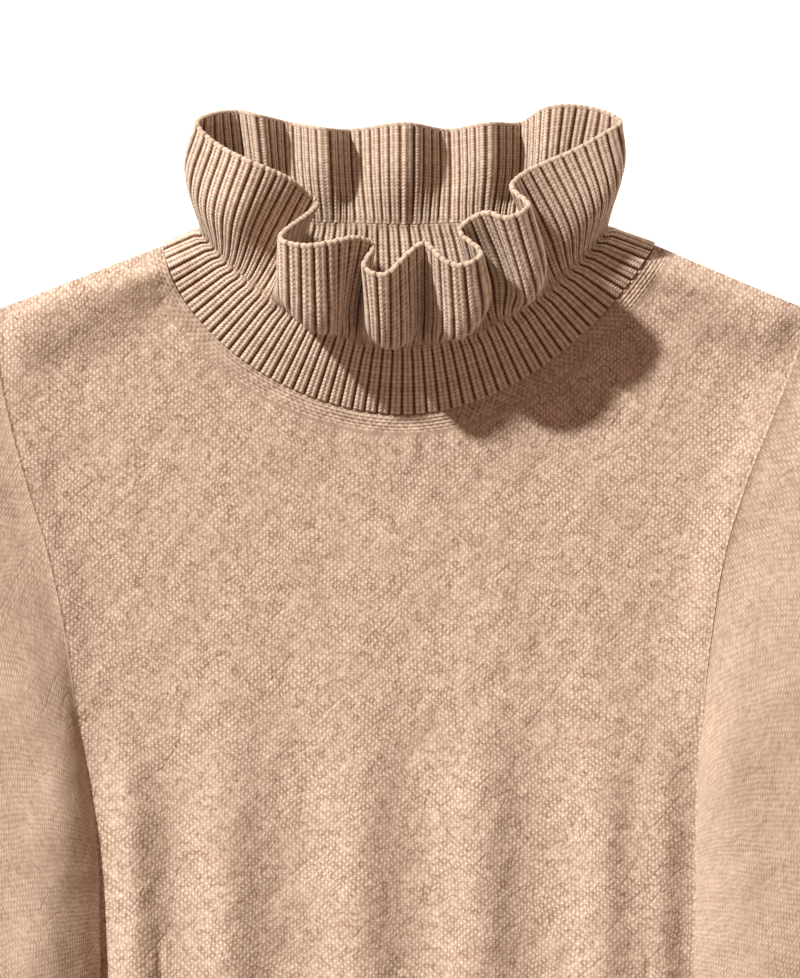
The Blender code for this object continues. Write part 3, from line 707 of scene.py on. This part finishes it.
def sleeve(name, side):
    """A sleeve as a tube, open at both ends; side is 1 on the right and -1 on the left."""
    around, sections = SLEEVE_GRID
    turn = 2 * np.pi * (np.arange(around) + 0.5) / around
    table = np.delete(np.array(SLEEVE), LEFT_HEIGHT if side > 0 else RIGHT_HEIGHT, axis=1)
    table[:, CLEAR] = np.maximum(table[:, CLEAR] - SLEEVE_CLOSE, CLOSEST)
    rows = spline(np.arange(len(SLEEVE)), table, np.linspace(0, len(SLEEVE) - 1, sections))
    rings = [sleeve_section(turn, side > 0, *row) for row in rows]
    outer, inner = np.array(rings).swapaxes(0, 1)
    on_top = smoothstep(TOP_START, TOP_FULL, np.sin(turn))[None, :]
    down = np.linspace(0, 1, sections)[:, None]
    loose = smoothstep(WAVE_START, WAVE_FULL, down) * (1 - smoothstep(WAVE_END, 1.0, down))
    seed = RIGHT_SEED if side > 0 else LEFT_SEED
    shift = on_top * loose * waves(SLEEVE_WAVES, outer[..., 0], outer[..., 1], seed)
    for face in (outer, inner):
        face[..., 2] += shift
        face[..., 0] *= side
    # The map goes round from the middle of the top, and down along the sleeve's middle.
    ring_steps = np.linalg.norm(np.diff(outer, axis=1, append=outer[:, :1]), axis=-1)
    girth = np.concatenate([np.zeros((sections, 1)), np.cumsum(ring_steps, axis=1)], axis=1)
    top = girth[:, around // 4][:, None]
    centre = outer.mean(axis=1)
    down_mm = lengths(centre)[0][:, None] + np.zeros_like(girth)
    maps = {"knit": np.stack([(girth - top) / WALE, -down_mm / COURSE], axis=-1)}
    if side < 0:
        outer, inner = outer[:, ::-1], inner[:, ::-1]
        maps = {key: value[:, ::-1] for key, value in maps.items()}
    piece = shell(name, outer, inner, True, maps)
    piece.data.set_sharp_from_angle(angle=np.radians(FOLD_ANGLE))
    return piece


# -------- collar


def throat_point(x, in_front):
    """The throat's point at x: the front arc rises over the flat back arc."""
    across = np.clip(abs(x) / (THROAT_LEFT if x < 0 else THROAT_RIGHT), 0.0, 1.0)
    middle = 1 - across**2
    if in_front:
        end_y, depth, end_z, rise = THROAT_FRONT
        in_y, in_z = FRONT_POWERS
        return x, end_y - depth * middle**in_y, end_z + rise * middle**in_z
    end_y, depth, z = THROAT_BACK
    return x, end_y - depth * middle, z


def collar_frame():
    """The ruffle's knots and its levels, one point a fold: throat, belly, rim."""
    rows = FRONT_RUFFLE + BACK_RUFFLE
    throat = np.array([throat_point(row[-1], row in FRONT_RUFFLE) for row in rows])
    belly = np.array([row[4:7] for row in rows])
    rim = np.array([row[1:4] for row in rows])
    steps = np.linalg.norm(np.roll(rim, -1, axis=0) - rim, axis=1) ** 0.5
    knots = np.concatenate([[0.0], np.cumsum(steps)[:-1]])
    return knots, steps.sum(), throat, belly, rim


KNOTS, PERIOD, THROAT, BELLY, RIM = collar_frame()


def rounded(values, at):
    """The spline averaged over a short stretch, which rounds the turns of its folds."""
    weights = (1, 4, 6, 4, 1)
    shifts = np.linspace(-TURN_ROUNDING, TURN_ROUNDING, len(weights))
    parts = [w * spline(KNOTS, values, at + shift, PERIOD) for w, shift in zip(weights, shifts)]
    return sum(parts) / sum(weights)


def neck_seam(share, front_share):
    """Points where the neckband starts: front arc for share < front_share, then the back arc."""
    points = []
    for depth in (FRONT_NECK_DEPTH, BACK_NECK_DEPTH):
        bend = np.sin(np.linspace(-np.pi / 2, np.pi / 2, SEAM_POINTS))
        x = np.where(bend < 0, bend * NECK_LEFT, bend * NECK_RIGHT)
        y = neckline(x, depth)
        if depth == FRONT_NECK_DEPTH:
            z = front_height(x, y - INSET_Y) - WALL / 2 + NECKBAND_RISE
        else:
            z = np.full_like(x, RIB_WALL / 2 + RIB_HEIGHT)
        points.append(np.stack([x, y, z], axis=-1))
    front_arc, back_arc = points[0], points[1][::-1]
    along_front, front_length = lengths(front_arc)
    along_back, back_length = lengths(back_arc)
    result = np.empty((len(share), 3))
    later = (share - front_share) / (1 - front_share) * back_length
    for axis in range(3):
        on_front = np.interp(share / front_share * front_length, along_front, front_arc[:, axis])
        on_back = np.interp(later, along_back, back_arc[:, axis])
        result[:, axis] = np.where(share < front_share, on_front, on_back)
    return result


def collar_surface(at, level):
    """Points halfway through the collar's wall, by place along the knots and by level."""
    at = np.asarray(at, float)
    dense = np.linspace(0, PERIOD, THROAT_POINTS, endpoint=False)
    along, whole = lengths(spline(KNOTS, THROAT, dense, PERIOD), closed=True)
    front_end = np.interp(KNOTS[len(FRONT_RUFFLE) - 1], dense, along) / whole
    share = np.interp(at % PERIOD, dense, along) / whole
    seam = neck_seam(share, front_end)
    throat_at = rounded(THROAT, at)
    inward = throat_at - seam
    inward[:, 2] = 0
    inward /= np.linalg.norm(inward, axis=1)[:, None]
    seam = seam + inward * (RIB_WALL / 2 + RIB_HEIGHT / 2 + SEAM_CLOSE)
    straight = throat_at + STRAIGHT_LEVEL * (throat_at - seam)
    levels = np.array([-1.0, STRAIGHT_LEVEL, 0.0, BELLY_LEVEL, 1.0])
    through = np.stack([seam, straight, throat_at, rounded(BELLY, at), rounded(RIM, at)])
    flat = spline(levels, through.reshape(5, -1), level)
    return flat.reshape(len(np.atleast_1d(level)), len(at), 3)


def rib_profile(phase):
    """Height of a rib by its phase: 0.5 on the knit column, RIB_DEPTH less in the purl gap."""
    f = phase - np.round(phase)
    top = 1 - smoothstep(HALF_RIB - RIB_SIDE, HALF_RIB + RIB_SIDE, np.abs(f))
    return RIB_DEPTH * (top - 1.0 - ridge(f, *RIB_GROOVE)) + 0.5


def collar_shell(name, ribs, per_rib, even_level, levels, rim_rows):
    """A ribbed wall with knit columns on both faces, rounded at the rim where it has one. Its
    ribs are evenly spaced at even_level."""
    dense = np.linspace(0, PERIOD, RIM_POINTS, endpoint=False)
    along, whole = lengths(collar_surface(dense, np.array([even_level]))[0], closed=True)
    count = ribs * per_rib
    share = np.arange(count) / count
    at = np.interp(share * whole, along, dense)
    phase = share * ribs
    points = collar_surface(at, levels)
    after = collar_surface(at + COLUMN_STEP, levels)
    before = collar_surface(at - COLUMN_STEP, levels)
    up = collar_surface(at, levels + LEVEL_STEP) - collar_surface(at, levels - LEVEL_STEP)
    outward = np.cross(after - before, up)
    outward /= np.linalg.norm(outward, axis=-1, keepdims=True)
    up /= np.linalg.norm(up, axis=-1, keepdims=True)
    bend = ((after - 2 * points + before) * outward).sum(axis=-1)
    bend /= (((after - before) / 2) ** 2).sum(axis=-1)
    room_outside = TIGHTEST / np.maximum(bend, 1e-6)
    room_inside = TIGHTEST / np.maximum(-bend, 1e-6)
    flat = smoothstep(RIM_LEVEL, 1.0, levels)[:, None] if rim_rows else 0 * levels[:, None]
    joined = bell(levels, JOIN_SPREAD)[:, None]
    ribbed = (1 - RIM_FLAT * flat) * (1 - JOIN_FLAT * joined)
    padding = flat * (RIM_WALL - RIB_WALL) / 2 + joined * JOIN_RISE
    out = RIB_WALL / 2 + ribbed * RIB_HEIGHT * rib_profile(phase)[None, :] + padding
    inner_height = INNER_RIB * RIB_HEIGHT
    into = RIB_WALL / 2 + ribbed * inner_height * rib_profile(phase + 0.5) + padding
    into = into + (1 - flat) * ridge(at - KNOTS[BACK_SEAM_KNOT], *BACK_SEAM)[None, :]
    out = np.minimum(out, room_outside)
    into = np.minimum(into, room_inside)
    outer = points + outward * out[..., None]
    inner = points - outward * into[..., None]
    rim = None
    if rim_rows:
        turns = np.pi * np.arange(1, rim_rows) / rim_rows
        middle = (outer[-1] + inner[-1]) / 2
        half = (outer[-1] - inner[-1]) / 2
        radius = np.linalg.norm(half, axis=-1, keepdims=True)
        swell = 1 + RIM_SWELL * np.sin(turns)[:, None, None]
        rim = middle + half * np.cos(turns)[:, None, None] * swell
        rim = rim + up[-1] * radius * np.sin(turns)[:, None, None]
    heights = np.linalg.norm(np.diff(points, axis=0), axis=-1).mean(axis=1)
    tall = np.concatenate([[0.0], np.cumsum(heights)])
    u = np.arange(count + 1) / per_rib
    uv = np.stack(np.broadcast_arrays(u[None, :], (tall / RIB_COURSE)[:, None]), axis=-1)
    return shell(name, outer, inner, True, {"knit": uv}, rim, inner_turn=0.5)


def neckband():
    even = np.linspace(-1.0, -EVEN_FROM, NECKBAND_ROWS)
    levels = np.concatenate([even, -NEAR_THROAT[::-1]])
    return collar_shell("neckband_rib", NECKBAND_RIBS, RIB_POINTS[0], EVEN_LEVELS[0], levels, 0)


def ruffle():
    even = np.linspace(EVEN_FROM, 1.0, RUFFLE_ROWS)
    levels = np.concatenate([NEAR_THROAT, even])
    return collar_shell("ruffle_rib", RUFFLE_RIBS, RIB_POINTS[1], EVEN_LEVELS[1], levels, RIM_ROWS)


# -------- materials


class Shading:
    """Builds one material's node graph."""

    def __init__(self, name):
        self.material = bpy.data.materials.new(name)
        self.material.use_nodes = True
        self.tree = self.material.node_tree
        self.shader = self.tree.nodes["Principled BSDF"]

    def new(self, kind):
        return self.tree.nodes.new("ShaderNode" + kind)

    def join(self, value, socket):
        if isinstance(value, (int, float, tuple)):
            socket.default_value = value
        else:
            self.tree.links.new(value, socket)

    def math(self, operation, *values):
        node = self.new("Math")
        node.operation = operation
        for value, socket in zip(values, node.inputs):
            self.join(value, socket)
        return node.outputs[0]

    def chain(self, operation, values):
        total = values[0]
        for value in values[1:]:
            total = self.math(operation, total, value)
        return total

    def add(self, *values):
        return self.chain("ADD", values)

    def times(self, *values):
        return self.chain("MULTIPLY", values)

    def ramp(self, value, low, high, to_low=0.0, to_high=1.0):
        node = self.new("MapRange")
        node.interpolation_type = "SMOOTHSTEP"
        keys = ("Value", "From Min", "From Max", "To Min", "To Max")
        for key, number in zip(keys, (value, low, high, to_low, to_high)):
            self.join(number, node.inputs[key])
        return node.outputs[0]

    def blend(self, share, low, high):
        """low where share is 0, high where it is 1."""
        return self.add(self.times(self.math("SUBTRACT", 1.0, share), low), self.times(share, high))

    def wave(self, value, size):
        """Noise of 0 to 1 made into a shift of up to half of size either way."""
        return self.times(self.math("SUBTRACT", value, 0.5), size)

    def cells(self, wale, course):
        """One random value a stitch."""
        place = self.new("CombineXYZ")
        self.join(self.math("FLOOR", wale), place.inputs[0])
        self.join(self.math("FLOOR", course), place.inputs[1])
        node = self.new("TexWhiteNoise")
        node.noise_dimensions = "2D"
        self.join(place.outputs[0], node.inputs["Vector"])
        return node.outputs["Value"]

    def uv(self, name):
        node = self.new("UVMap")
        node.uv_map = name
        parts = self.new("SeparateXYZ")
        self.join(node.outputs[0], parts.inputs[0])
        return parts.outputs[0], parts.outputs[1]

    def noise(self, name):
        """A noise of the table, its features longer along the way that its turn gives."""
        scale, detail, roughness, long, turn = NOISES[name]
        place = self.new("TexCoord")
        mapping = self.new("Mapping")
        mapping.vector_type = "TEXTURE"
        self.join(place.outputs["Object"], mapping.inputs["Vector"])
        mapping.inputs["Scale"].default_value = (long, 1.0, 1.0)
        mapping.inputs["Rotation"].default_value = (0.0, 0.0, turn)
        node = self.new("TexNoise")
        keys = ("Vector", "Scale", "Detail", "Roughness")
        for key, value in zip(keys, (mapping.outputs[0], scale, detail, roughness)):
            self.join(value, node.inputs[key])
        return node.outputs[0]

    def stitches(self, wale, course):
        """Height, about 0 to 1, of plain-knit stitches: two strands a wale, each half a course up
        from its neighbours."""
        across = self.math("COSINE", self.times(wale, 2 * np.pi))
        along = self.math("COSINE", self.times(course, 2 * np.pi))
        strands = self.math("COSINE", self.times(wale, 4 * np.pi))
        rows = self.math("COSINE", self.times(course, 4 * np.pi))
        knit = self.add(0.5, self.times(across, along, LATTICE), self.times(strands, STRANDS))
        return self.add(knit, self.times(rows, ROWS))

    def finish(self, height, distance, strength):
        bump = self.new("Bump")
        for key, value in zip(("Height", "Distance", "Strength"), (height, distance, strength)):
            self.join(value, bump.inputs[key])
        self.join(bump.outputs[0], self.shader.inputs["Normal"])
        for key, value in YARN_FINISH.items():
            self.shader.inputs[key].default_value = value
        return self.material

    def colour(self, shade):
        """Yarn colour from painted shade in deep gaps, 0, to a painted highlight on the lit top of
        a strand, 1.
        """
        node = self.new("ValToRGB")
        node.color_ramp.elements[0].color = (*YARN_SHADED, 1.0)
        node.color_ramp.elements[1].color = (*YARN_HIGHLIT, 1.0)
        middle = node.color_ramp.elements.new(YARN_AT)
        middle.color = (*YARN, 1.0)
        self.join(shade, node.inputs[0])
        self.join(node.outputs[0], self.shader.inputs["Base Color"])


def jersey(name, clarity, band):
    """Plain knit, whose stitches and wrinkles show by clarity, 0 to 1, as bumps and as painted
    shade and highlight; with band, the wales beside the neckline follow it, with painted shade
    between their ridges."""
    s = Shading(name)
    wale, course = s.uv("knit")
    sway = s.wave(s.noise("wale_sway"), WALE_SWAY)
    wale = s.add(wale, sway, s.wave(s.noise("wale_wobble"), WALE_WOBBLE))
    sway = s.wave(s.noise("course_sway"), COURSE_SWAY)
    course = s.add(course, sway, s.wave(s.noise("course_wobble"), COURSE_WOBBLE))
    ridges = 0.0
    if band:
        along, off = s.uv("seam")
        edge = s.ramp(off, FASHION_BAND - BAND_EDGE, FASHION_BAND + BAND_EDGE)
        wale = s.blend(edge, s.times(off, 1 / WALE), wale)
        course = s.blend(edge, along, course)
        lines = s.math("COSINE", s.times(off, 4 * np.pi / WALE))
        ridges = s.times(s.ramp(off, FASHION_BAND, FASHION_BAND - BAND_FADE), lines, -1.0)
    knit = s.stitches(wale, course)
    uneven = s.cells(s.times(wale, 2.0), s.times(course, 2.0))
    (low, faint), (high, clearly) = FAINT, CLEARLY
    clear = s.ramp(s.noise("clearness"), low, high, faint * clarity, clearly * clarity)
    nap = s.noise("nap")
    folds = s.noise("soft_folds")
    lines = s.math("ABSOLUTE", s.math("SUBTRACT", s.noise("wrinkles"), 0.5))
    sparse = s.ramp(s.noise("wrinkled"), *WRINKLED)
    wrinkles = s.times(s.ramp(lines, WRINKLE_HALF, 0.0), sparse)
    patches = s.noise("patches")
    # The shade paints shade between the stitches, in the wrinkles and between the band's ridges,
    # and a highlight on the strands' tops; the other parts are tones that differ at random.
    shade = s.add(
        s.wave(knit, clear),
        s.wave(uneven, KNIT_SHADE["strands"] * clarity),
        s.wave(s.cells(wale, course), KNIT_SHADE["stitches"] * clarity),
        s.wave(nap, KNIT_SHADE["nap"] * clarity),
        s.wave(patches, KNIT_SHADE["patches"]),
        s.times(wrinkles, KNIT_SHADE["wrinkles"] * clarity),
        s.times(ridges, KNIT_SHADE["ridges"]),
        KNIT_SHADE["base"],
    )
    s.colour(shade)
    height = s.add(
        s.times(knit, KNIT_HEIGHT["knit"] * clarity),
        s.times(nap, KNIT_HEIGHT["nap"] * clarity),
        s.times(folds, KNIT_HEIGHT["folds"] * clarity**2),
        s.times(wrinkles, KNIT_HEIGHT["wrinkles"] * clarity),
        s.times(ridges, KNIT_HEIGHT["ridges"]),
    )
    return s.finish(height, *KNIT_BUMP)


def rib(name, throat_course, rim_course=None):
    """Rib knit: a knit column of two strands, then a purl gap, with painted shade in the gap and in
    the holes between the strands and a painted highlight on the strands. It is plainer in the
    throat's bend and at the rim, if it has one; both are given by their courses."""
    s = Shading(name)
    across, course = s.uv("knit")
    rows = s.add(course, s.wave(s.noise("row_sway"), ROW_SWAY))
    place = s.math("SUBTRACT", across, s.math("ROUND", across))
    far = s.math("ABSOLUTE", place)
    strand = s.math("SINE", s.times(s.ramp(far, GROOVE_SIDE, HALF_RIB), np.pi))
    bars = s.math("COSINE", s.times(s.add(rows, s.times(far, STRAND_CLIMB)), 2 * np.pi))
    knit = s.add(s.times(strand, STRAND), s.times(bars, BAR), RIB_BASE)
    uneven = s.cells(s.times(place, 2.0), rows)
    on_rib = s.ramp(far, *(HALF_RIB + edge for edge in COLUMN_EDGE))
    holes = s.times(s.ramp(far, *HOLE_OUT), s.ramp(bars, *HOLE_ROWS))
    purl = s.times(s.ramp(bars, *PURL_ROWS), PURL_SHARE)
    weave = s.blend(on_rib, purl, knit)
    nap = s.noise("rib_nap")
    from_throat = s.math("ABSOLUTE", s.math("SUBTRACT", course, throat_course))
    bend = s.ramp(from_throat, BEND_COURSES, 0.0)
    # weave, column and holes paint shade into the purl gaps and holes and a highlight on the
    # strands; the same parts give the bump's height.
    parts = {"weave": weave, "column": on_rib, "holes": holes}
    woven = [s.times(part, RIB_SHADE[key]) for key, part in parts.items()]
    shade = s.add(*woven, RIB_SHADE["base"])
    shade = s.blend(s.times(bend, BEND_SHARE), shade, BEND_SHADE)
    height = s.add(*(s.times(part, RIB_RELIEF[key]) for key, part in parts.items()))
    if rim_course:
        on_rim = s.ramp(course, *(rim_course - below for below in RIM_BELOW))
        shade = s.blend(on_rim, shade, s.add(RIM_SHADE, s.times(on_rib, RIM_COLUMN)))
    napped = s.wave(nap, RIB_SHADE["nap"])
    s.colour(s.add(shade, napped, s.wave(uneven, RIB_SHADE["strands"]), RIB_SHADE["shift"]))
    return s.finish(s.add(height, s.times(nap, RIB_RELIEF["nap"])), *RIB_BUMP)


# -------- scene


def floor():
    """The white surface that the dress lies on."""
    material = bpy.data.materials.new("floor_white")
    material.use_nodes = True
    for key, value in FLOOR_LOOK.items():
        material.node_tree.nodes["Principled BSDF"].inputs[key].default_value = value
    mesh = bpy.data.meshes.new("floor")
    turns = ((-1, -1), (1, -1), (1, 1), (-1, 1))
    mesh.from_pydata([(a * FLOOR_HALF, b * FLOOR_HALF, 0.0) for a, b in turns], [], [(0, 1, 2, 3)])
    mesh.materials.append(material)
    piece = put("floor", mesh)
    piece.location.z = FLOOR_Z


def studio():
    """The camera looks straight down, and one light comes from the upper left."""
    camera = bpy.data.cameras.new("camera")
    camera.sensor_fit = "VERTICAL"
    camera.sensor_height = SENSOR
    camera.lens = SENSOR * CAMERA_HEIGHT / VIEW_HEIGHT
    camera.clip_end = 30.0
    seen_from = put("camera", camera)
    seen_from.location = (*VIEW_CENTRE, CAMERA_HEIGHT)
    bpy.context.scene.camera = seen_from

    key = bpy.data.lights.new("key", "SUN")
    key.energy = LIGHT_STRENGTH
    key.angle = LIGHT_ANGLE
    lamp = put("key", key)
    lamp.location = LIGHT_WAY
    lamp.rotation_euler = (-Vector(LIGHT_WAY)).to_track_quat("-Z", "Y").to_euler()

    world = bpy.data.worlds.new("studio")
    world.use_nodes = True
    back_light = world.node_tree.nodes["Background"]
    back_light.inputs["Color"].default_value = SKY
    back_light.inputs["Strength"].default_value = SKY_STRENGTH
    bpy.context.scene.world = world
    bpy.context.scene.view_settings.view_transform = "Standard"


def dress():
    """Builds the six pieces, each on its body and in place of its node, and returns them."""
    plain_knit = jersey("jersey_knit", SLEEVE_CLARITY, band=False)
    banded_knit = jersey("jersey_knit_neckline", 1.0, band=True)
    collar, frill = neckband(), ruffle()
    collar_top, frill_top = [
        max(uv.uv[1] for uv in piece.data.uv_layers["knit"].data) for piece in (collar, frill)
    ]
    rib_knit = rib("rib_knit", collar_top)
    rim_knit = rib("rib_knit_rimmed", 0.0, frill_top)
    pieces = (
        (front(), "front", "jersey", banded_knit),
        (back(), "back", "jersey", plain_knit),
        (sleeve("sleeve_left_knit", -1), "sleeve_left", "jersey", plain_knit),
        (sleeve("sleeve_right_knit", 1), "sleeve_right", "jersey", plain_knit),
        (collar, "neckband", "rib", rib_knit),
        (frill, "ruffle", "rib", rim_knit),
    )
    for piece, node, slot, material in pieces:
        piece.data.materials.append(material)
        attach(piece, "root")
        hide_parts(node)
    return [piece for piece, *_ in pieces]


# Each piece's cut, in the order of dress(): the width, length and area of its knit laid flat, in
# metres. A sleeve is a tube, so its cut goes all round it.
CUTS = (
    (0.46, 0.90, 0.3105, "laid", "back_knit"),
    (0.445, 0.88, 0.3137, "laid", "floor"),
    (0.37, 0.63, 0.134, "laid", "floor"),
    (0.37, 0.63, 0.1385, "laid", "floor"),
    (0.62, 0.045, 0.0199, "laid", "front_knit"),
    (0.82, 0.056, 0.0424, "gathered", "neckband_rib"),
)
for piece, (width, length, area, held, under) in zip(dress(), CUTS):
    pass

floor()
studio()
